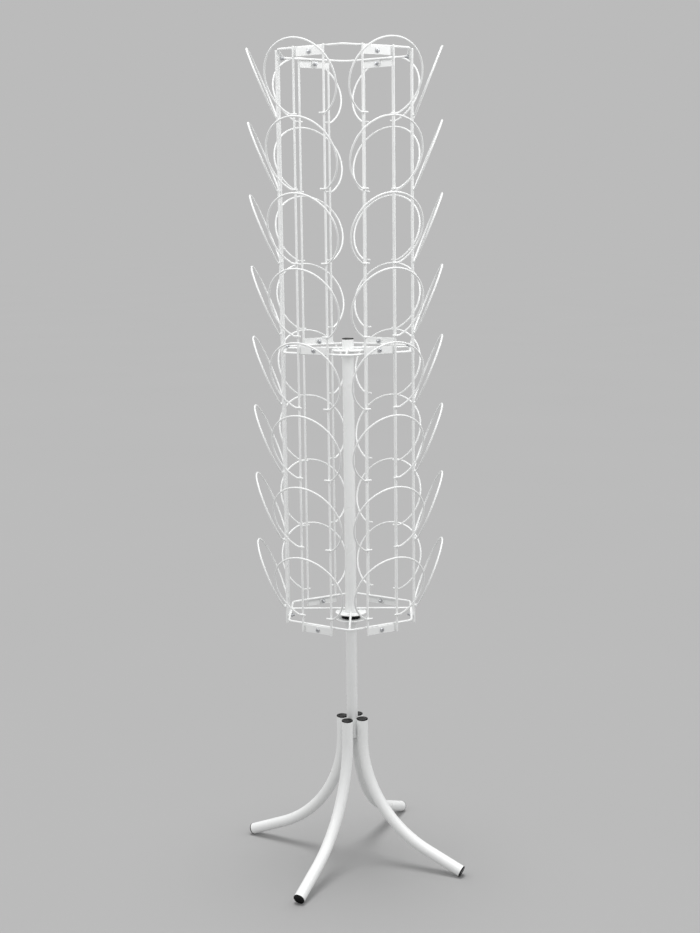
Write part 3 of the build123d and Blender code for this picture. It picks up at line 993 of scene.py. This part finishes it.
class RACK_OT_rings(bpy.types.Operator):
    """Bend the three rings and weld the screw tabs to them"""
    bl_idname = "rack.rings"
    bl_label = "Rings"

    def execute(self, context):
        coat = finish_material(powder_coat)
        for level in LEVELS:
            bm = bmesh.new()
            add_wire(bm, ring_path(RING_Z[level]), RING_WIRE_D, FRAME_WIRE_SIDES, closed=True)
            ring = piece_from(bm, f"wire_ring_{level}")
            finish_piece(ring, powder_coat, BASKET, [f"ring_{level}"])
            bm = bmesh.new()
            add_lug(bm, level, random.Random(5))
            lugs = copies_of(
                piece_from(bm, "lug"), f"screw_tabs_{level}", coat,
                rounds=FACE_COUNT, first_angle=FIRST_FACE)
            finish_piece(lugs, powder_coat, BASKET, [f"ring_{level}_lugs"])
        return {"FINISHED"}


class RACK_OT_hubs(bpy.types.Operator):
    """Make the hub discs, the sleeve on the pole, the cross rods and the spokes"""
    bl_idname = "rack.hubs"
    bl_label = "Hubs and spokes"

    def execute(self, context):
        sides = 2 * context.scene.rack_sizes.tube_sides
        coat = finish_material(powder_coat)
        sleeve_r = sleeve_high.y
        bore = TUBE_D / 2 + RUNNING_CLEARANCE
        for level, node, hole in (
                ("bottom", "hub_disc_bottom", bore + HUB_CLEARANCE),
                ("mid", "hub_disc_mid", sleeve_r)):
            low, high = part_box(node)
            profile = hollow_profile(high.y, hole, low.z, high.z, DISC_EDGE_R)
            disc = lathe_piece(node + "_plate", profile, sides)
            disc.data.materials.append(coat)
            parts = [disc]
            if level == "mid":
                parts.append(weld_round("sleeve_weld", sleeve_r, low.z, coat))
            whole = join_pieces(f"hub_plate_{level}", parts)
            finish_piece(whole, powder_coat, BASKET, [node])

            bm = bmesh.new()
            draw = random.Random(3)
            for start, stop in spoke_lines(level):
                centre = start.lerp(stop, 0.5)
                add_wire(bm, [start, centre, stop], RING_WIRE_D, FRAME_WIRE_SIDES)
                along = (stop - start).normalized()
                add_butt_weld(bm, stop, along, draw)
                if start.x < 0:
                    add_butt_weld(bm, start, -along, draw)
                    spots = [centre + along * reach for reach in (-ROD_SEAT, ROD_SEAT)]
                else:
                    spots = [start + along * SPOKE_SEAT]
                for spot in spots:
                    add_seat_weld(bm, spot, along, draw)
            spokes = piece_from(bm, f"spoke_wires_{level}")
            finish_piece(spokes, powder_coat, BASKET, [f"spokes_{level}"])

        profile = hollow_profile(sleeve_r, bore, sleeve_low.z, sleeve_high.z, TUBE_EDGE_R)
        sleeve = lathe_piece("pole_sleeve", profile, sides)
        finish_piece(sleeve, powder_coat, BASKET, ["guide_sleeve"])
        return {"FINISHED"}


# ---- the panels ----
def face_turn(panel):
    """Angle of a panel's outward side; panel 2 faces +X."""
    return FIRST_FACE + (panel - 1) * FACE_STEP


class RACK_OT_panels(bpy.types.Operator):
    """Make the two uprights and the three straps of each panel"""
    bl_idname = "rack.panels"
    bl_label = "Panels"

    def execute(self, context):
        coat = finish_material(powder_coat)
        half = STRAP_HEIGHT / 2
        for panel in PANELS:
            turn = Matrix.Rotation(face_turn(panel), 4, "Z")
            bm = bmesh.new()
            for side in (-1, 1):
                foot = Vector((UPRIGHT_R, side * UPRIGHT_Y, upright_low.z))
                head = Vector((UPRIGHT_R, side * UPRIGHT_Y, upright_high.z))
                add_wire(
                    bm, [foot, foot.lerp(head, 0.5), head], UPRIGHT_D, FRAME_WIRE_SIDES,
                    rounding=0.8 * MM)
            bmesh.ops.transform(bm, matrix=turn, verts=bm.verts)
            uprights = piece_from(bm, f"upright_wires_{panel}")
            finish_piece(
                uprights, powder_coat, BASKET, [f"panel_{panel}_uprights"])

            bm = bmesh.new()
            draw = random.Random(panel)
            for level in LEVELS:
                part = bmesh.new()
                outline = rounded_box_outline(STRAP_Y, -half, half, STRAP_CORNER_R)
                add_holed_strip(part, outline, SCREW_HOLE_D / 2, STRAP_T, STRAP_EDGE)
                middle_x = (strap_low.x + strap_high.x) / 2
                shift = Matrix.Translation((middle_x, 0, SCREW_Z[level]))
                add_part(bm, part, shift)
                for side in (-1, 1):
                    weld_y = side * (UPRIGHT_Y - STRAP_WELD_INSET)
                    for row in STRAP_WELD_ROWS:
                        spot = (strap_high.x + 0.1 * MM, weld_y, SCREW_Z[level] + row)
                        add_drop(bm, spot, STRAP_WELD, draw)
            bmesh.ops.transform(bm, matrix=turn, verts=bm.verts)
            straps = piece_from(bm, f"straps_{panel}")
            straps.data.materials.append(coat)
            finish_piece(straps, powder_coat, BASKET, [f"panel_{panel}_plates"])
        return {"FINISHED"}


# ---- the loops ----
def loop_path(sizes, arc_steps=56, bend_steps=4):
    """Centre line of one loop: foot, small bend, wide arc, small bend, foot."""
    radius = sizes.loop_radius
    reach = radius - LOOP_BEND_R
    drop = sizes.loop_rise - LOOP_BEND_R
    bend_x = math.sqrt(reach ** 2 - drop ** 2)
    bend_turn = math.atan2(drop, bend_x)
    flat = [(-LOOP_FOOT_END, 0.0), (-(LOOP_FOOT_END + bend_x) / 2, 0.0)]
    for k in range(bend_steps + 1):
        t = -math.pi / 2 - (math.pi / 2 - bend_turn) * k / bend_steps
        flat.append((-bend_x + LOOP_BEND_R * math.cos(t), LOOP_BEND_R + LOOP_BEND_R * math.sin(t)))
    for k in range(1, arc_steps):
        t = math.pi + bend_turn - (math.pi + 2 * bend_turn) * k / arc_steps
        flat.append((radius * math.cos(t), sizes.loop_rise + radius * math.sin(t)))
    right = [(-x, y) for x, y in flat[:bend_steps + 3]]
    return flat + right[::-1]


class RACK_OT_loops(bpy.types.Operator):
    """Bend the cap loops and weld a column of them to each panel"""
    bl_idname = "rack.loops"
    bl_label = "Cap loops"

    def execute(self, context):
        sizes = context.scene.rack_sizes
        coat = finish_material(powder_coat)
        outward = Vector((math.sin(sizes.loop_tilt), 0, math.cos(sizes.loop_tilt)))
        seat = Vector((upright_high.x + sizes.loop_wire / 2, 0, 0))
        line = [seat + Vector((0, x, 0)) + outward * y for x, y in loop_path(sizes)]
        for panel in PANELS:
            bm = bmesh.new()
            draw = random.Random(20 + panel)
            add_wire(bm, line, sizes.loop_wire, sizes.wire_sides)
            for side in (-1, 1):
                spot = (upright_high.x, side * UPRIGHT_Y, 0)
                add_drop(bm, spot, (LOOP_WELD_HEIGHT, sizes.weld_size, sizes.weld_size), draw)
            column = copies_of(
                piece_from(bm, "loop"), f"loop_wires_{panel}", coat, rows=LOOP_ROWS,
                pitch=LOOP_PITCH, first_angle=face_turn(panel))
            column.data.transform(Matrix.Translation((0, 0, loops_low.z + sizes.loop_wire / 2)))
            finish_piece(column, powder_coat, BASKET, [f"panel_{panel}_loops"])
        return {"FINISHED"}


# ---- the fasteners ----
def add_screw(bm, place):
    """Pan-head screw with a cross recess, its underside at the origin, head towards +Z."""
    part = bmesh.new()
    head_r = SCREW_HEAD_D / 2
    thread_r = SCREW_D / 2
    low = -SCREW_LENGTH
    outline = [(thread_r * 0.6, low), (thread_r * 0.9, low + 0.6 * MM)]
    for k in range(int((SCREW_LENGTH - 1.6 * MM) / THREAD_PITCH)):
        z = low + 0.8 * MM + k * THREAD_PITCH
        outline += [(thread_r * 0.86, z), (thread_r, z + THREAD_PITCH / 2)]
    outline += [
        (thread_r * 0.9, 0.0), (head_r, 0.0), (head_r, 0.9 * MM), (head_r * 0.97, 1.6 * MM),
        (head_r * 0.88, 2.3 * MM), (head_r * 0.72, 2.8 * MM), (head_r * 0.5, 3.1 * MM)]
    # the recess over a quarter turn, from an arm's tip through the corner to the next arm
    cross = [2.1 * MM, 1.5 * MM, 0.8 * MM, 0.75 * MM, 0.8 * MM, 1.5 * MM] * 4
    rings = [level_ring(radius, height, len(cross)) for radius, height in outline]
    for scale, depth in ((1.0, 0.0), (0.92, 0.5 * MM), (0.45, 1.5 * MM)):
        rings.append(shaped_ring([scale * radius for radius in cross], SCREW_HEAD_H - depth))
    skin(part, rings)
    add_part(bm, part, place)


def add_nut(bm, place, sides=36):
    """Hexagon nut with chamfered corners, its outer face at the origin, body below."""
    part = bmesh.new()
    flat = NUT_FLATS / 2
    bore = SCREW_D / 2 + 0.02 * MM
    sixth = math.tau / 6
    corner = flat / math.cos(sixth / 2)
    turns = [(i * math.tau / sides) % sixth - sixth / 2 for i in range(sides)]
    hexagon = [flat / math.cos(turn) for turn in turns]
    rings = []
    for limit, height in (
            (flat * 0.97, 0.0), (corner, -NUT_CHAMFER), (corner, NUT_CHAMFER - NUT_H),
            (flat * 0.97, -NUT_H)):
        rings.append(shaped_ring([min(radius, limit) for radius in hexagon], height))
    mouth = bore + NUT_BORE_CHAMFER
    for radius, height in (
            (mouth, -NUT_H), (bore, NUT_BORE_CHAMFER - NUT_H), (bore, -NUT_BORE_CHAMFER),
            (mouth, 0.0)):
        rings.append(level_ring(radius, height, sides))
    skin(part, rings, closed=True)
    add_part(bm, part, place)


class RACK_OT_fasteners(bpy.types.Operator):
    """Put a screw and a nut through each strap and screw tab"""
    bl_idname = "rack.fasteners"
    bl_label = "Screws and nuts"

    def execute(self, context):
        zinc = finish_material(zinc_plate)
        outward = Matrix.Rotation(math.pi / 2, 4, "Y")
        for name, node, add, radius in (
                ("pan_head_screws", "panel_screws", add_screw, strap_high.x),
                ("hexagon_nuts", "panel_nuts", add_nut, strap_low.x - LUG_T)):
            draw = random.Random(7)
            bm = bmesh.new()
            for level in LEVELS:
                drive = draw.uniform(0, math.tau) if add is add_screw else math.tau / 12
                place = Matrix.Translation((radius, 0, SCREW_Z[level])) @ outward
                add(bm, place @ Matrix.Rotation(drive, 4, "Z"))
            whole = copies_of(
                piece_from(bm, name), name, zinc, rounds=FACE_COUNT, first_angle=FIRST_FACE)
            finish_piece(whole, zinc_plate, BASKET, [node])
        return {"FINISHED"}


# ---- the stage ----
CAMERA_DISTANCE = 2.981
CAMERA_HEIGHT = 1.4142
CAMERA_AZIMUTH = math.radians(1.35)
CAMERA_YAW = math.radians(-0.03)
CAMERA_PITCH = math.radians(9.888)
CAMERA_ROLL = math.radians(-0.67)
LENS_PER_HEIGHT = 1.498
SENSOR = 36.0
FLOOR_R = 60.0
FLOOR_SIDES = 96
FLOOR_ALBEDO = 0.55
SKYLIGHT_LEAN = math.radians(4)
SKYLIGHT_ANGLE = math.radians(23)
RACK_MIDDLE = (0, 0, 1.5)


def stage_material():
    """Matt painted floor, with a trace of unevenness from the roller."""
    material, tree, shader, place = new_material("matt_grey_floor_paint")
    cloud = add_node(tree, "ShaderNodeTexNoise", {"Vector": place, "Scale": 0.8, "Detail": 2.0})
    shade = add_node(tree, "ShaderNodeMapRange", {
        "Value": cloud.outputs["Fac"], "From Min": 0.3, "From Max": 0.7,
        "To Min": FLOOR_ALBEDO * 0.995, "To Max": FLOOR_ALBEDO * 1.005})
    tree.links.new(shade.outputs[0], shader.inputs["Base Color"])
    shader.inputs["Specular IOR Level"].default_value = 0.0
    shader.inputs["Roughness"].default_value = 1.0
    return material


def softbox(name, place, width, height, power, floor):
    """A soft rectangular light aimed at the rack, which leaves the floor alone."""
    data = bpy.data.lights.new(name, "AREA")
    data.shape = "RECTANGLE"
    data.size = width
    data.size_y = height
    data.energy = power
    lamp = bpy.data.objects.new(name, data)
    lamp.location = place
    aim = Vector(RACK_MIDDLE) - Vector(place)
    lamp.rotation_euler = aim.to_track_quat("-Z", "Y").to_euler()
    bpy.context.scene.collection.objects.link(lamp)
    unlit = bpy.data.collections.new(name + "_skips")
    unlit.objects.link(floor)
    unlit.collection_objects[0].light_linking.link_state = "EXCLUDE"
    lamp.light_linking.receiver_collection = unlit


class RACK_OT_stage(bpy.types.Operator):
    """Set up the pale floor, the soft lights and the camera"""
    bl_idname = "rack.stage"
    bl_label = "Stage"

    def execute(self, context):
        scene = context.scene
        scene.view_settings.view_transform = "Standard"
        grey = tuple(scene.rack_colours.stage)
        world = bpy.data.worlds.new("soft_room")
        world.use_nodes = True
        sky = world.node_tree.nodes["Background"]
        sky.inputs["Color"].default_value = grey
        sky.inputs["Strength"].default_value = 1.0
        scene.world = world

        bm = bmesh.new()
        bm.faces.new([bm.verts.new(point) for point in level_ring(FLOOR_R, 0, FLOOR_SIDES)])
        floor = piece_from(bm, "studio_floor")
        floor.data.materials.append(stage_material())

        # the overhead light is set so that the floor is as bright as the room behind it,
        # and the floor runs into the room without an edge
        data = bpy.data.lights.new("overhead_skylight", "SUN")
        data.energy = math.pi * grey[0] * (1 / FLOOR_ALBEDO - 1) / math.cos(SKYLIGHT_LEAN)
        data.angle = SKYLIGHT_ANGLE
        lamp = bpy.data.objects.new("overhead_skylight", data)
        lamp.rotation_euler = (-SKYLIGHT_LEAN, 0, 0)
        scene.collection.objects.link(lamp)

        softbox("front_softbox", (0.3, -2.0, 3.6), 2.2, 1.2, 26, floor)
        softbox("left_softbox", (-2.1, -0.8, 2.5), 0.8, 1.8, 21, floor)
        softbox("right_softbox", (2.1, -0.7, 2.5), 0.8, 1.8, 26, floor)
        softbox("rear_softbox", (-1.2, 3.0, 3.0), 2.4, 1.2, 20, floor)

        camera = bpy.data.cameras.new("camera")
        camera.sensor_fit = "VERTICAL"
        camera.sensor_height = SENSOR
        camera.lens = SENSOR * LENS_PER_HEIGHT
        eye = bpy.data.objects.new("camera", camera)
        turn = Matrix.Rotation(CAMERA_AZIMUTH, 4, "Z")
        place = Matrix.Translation((0, -CAMERA_DISTANCE, CAMERA_HEIGHT))
        yaw = Matrix.Rotation(CAMERA_YAW, 4, "Z")
        pitch = Matrix.Rotation(math.pi / 2 - CAMERA_PITCH, 4, "X")
        roll = Matrix.Rotation(CAMERA_ROLL, 4, "Z")
        eye.matrix_world = turn @ place @ yaw @ pitch @ roll
        scene.collection.objects.link(eye)
        scene.camera = eye
        return {"FINISHED"}


# ---- the add-on ----
OPERATORS = (
    RACK_OT_stage, RACK_OT_legs, RACK_OT_plugs, RACK_OT_pole, RACK_OT_bearing, RACK_OT_rings,
    RACK_OT_hubs, RACK_OT_panels, RACK_OT_loops, RACK_OT_fasteners)


class RACK_PT_sidebar(bpy.types.Panel):
    """Sizes, colours and the steps that make the rack"""
    bl_idname = "RACK_PT_sidebar"
    bl_label = "Cap spinner rack"
    bl_space_type = "VIEW_3D"
    bl_region_type = "UI"
    bl_category = "Rack"

    def draw(self, context):
        layout = self.layout
        for group in (context.scene.rack_sizes, context.scene.rack_colours):
            column = layout.column()
            for key in group.__annotations__:
                column.prop(group, key)
        for operator in OPERATORS:
            layout.operator(operator.bl_idname)


CLASSES = (RackSizes, RackColours, *OPERATORS, RACK_PT_sidebar)


def register():
    for item in CLASSES:
        bpy.utils.register_class(item)
    bpy.types.Scene.rack_sizes = bpy.props.PointerProperty(type=RackSizes)
    bpy.types.Scene.rack_colours = bpy.props.PointerProperty(type=RackColours)


def unregister():
    del bpy.types.Scene.rack_colours
    del bpy.types.Scene.rack_sizes
    for item in reversed(CLASSES):
        bpy.utils.unregister_class(item)


def main():
    """Make the stage and the rack in order."""
    register()
    for operator in OPERATORS:
        group, name = operator.bl_idname.split(".")
        result = getattr(getattr(bpy.ops, group), name)()
        if result != {"FINISHED"}:
            raise RuntimeError(f"{operator.bl_idname} did not finish")
    bpy.context.view_layer.update()


if __name__ == "__main__":
    main()
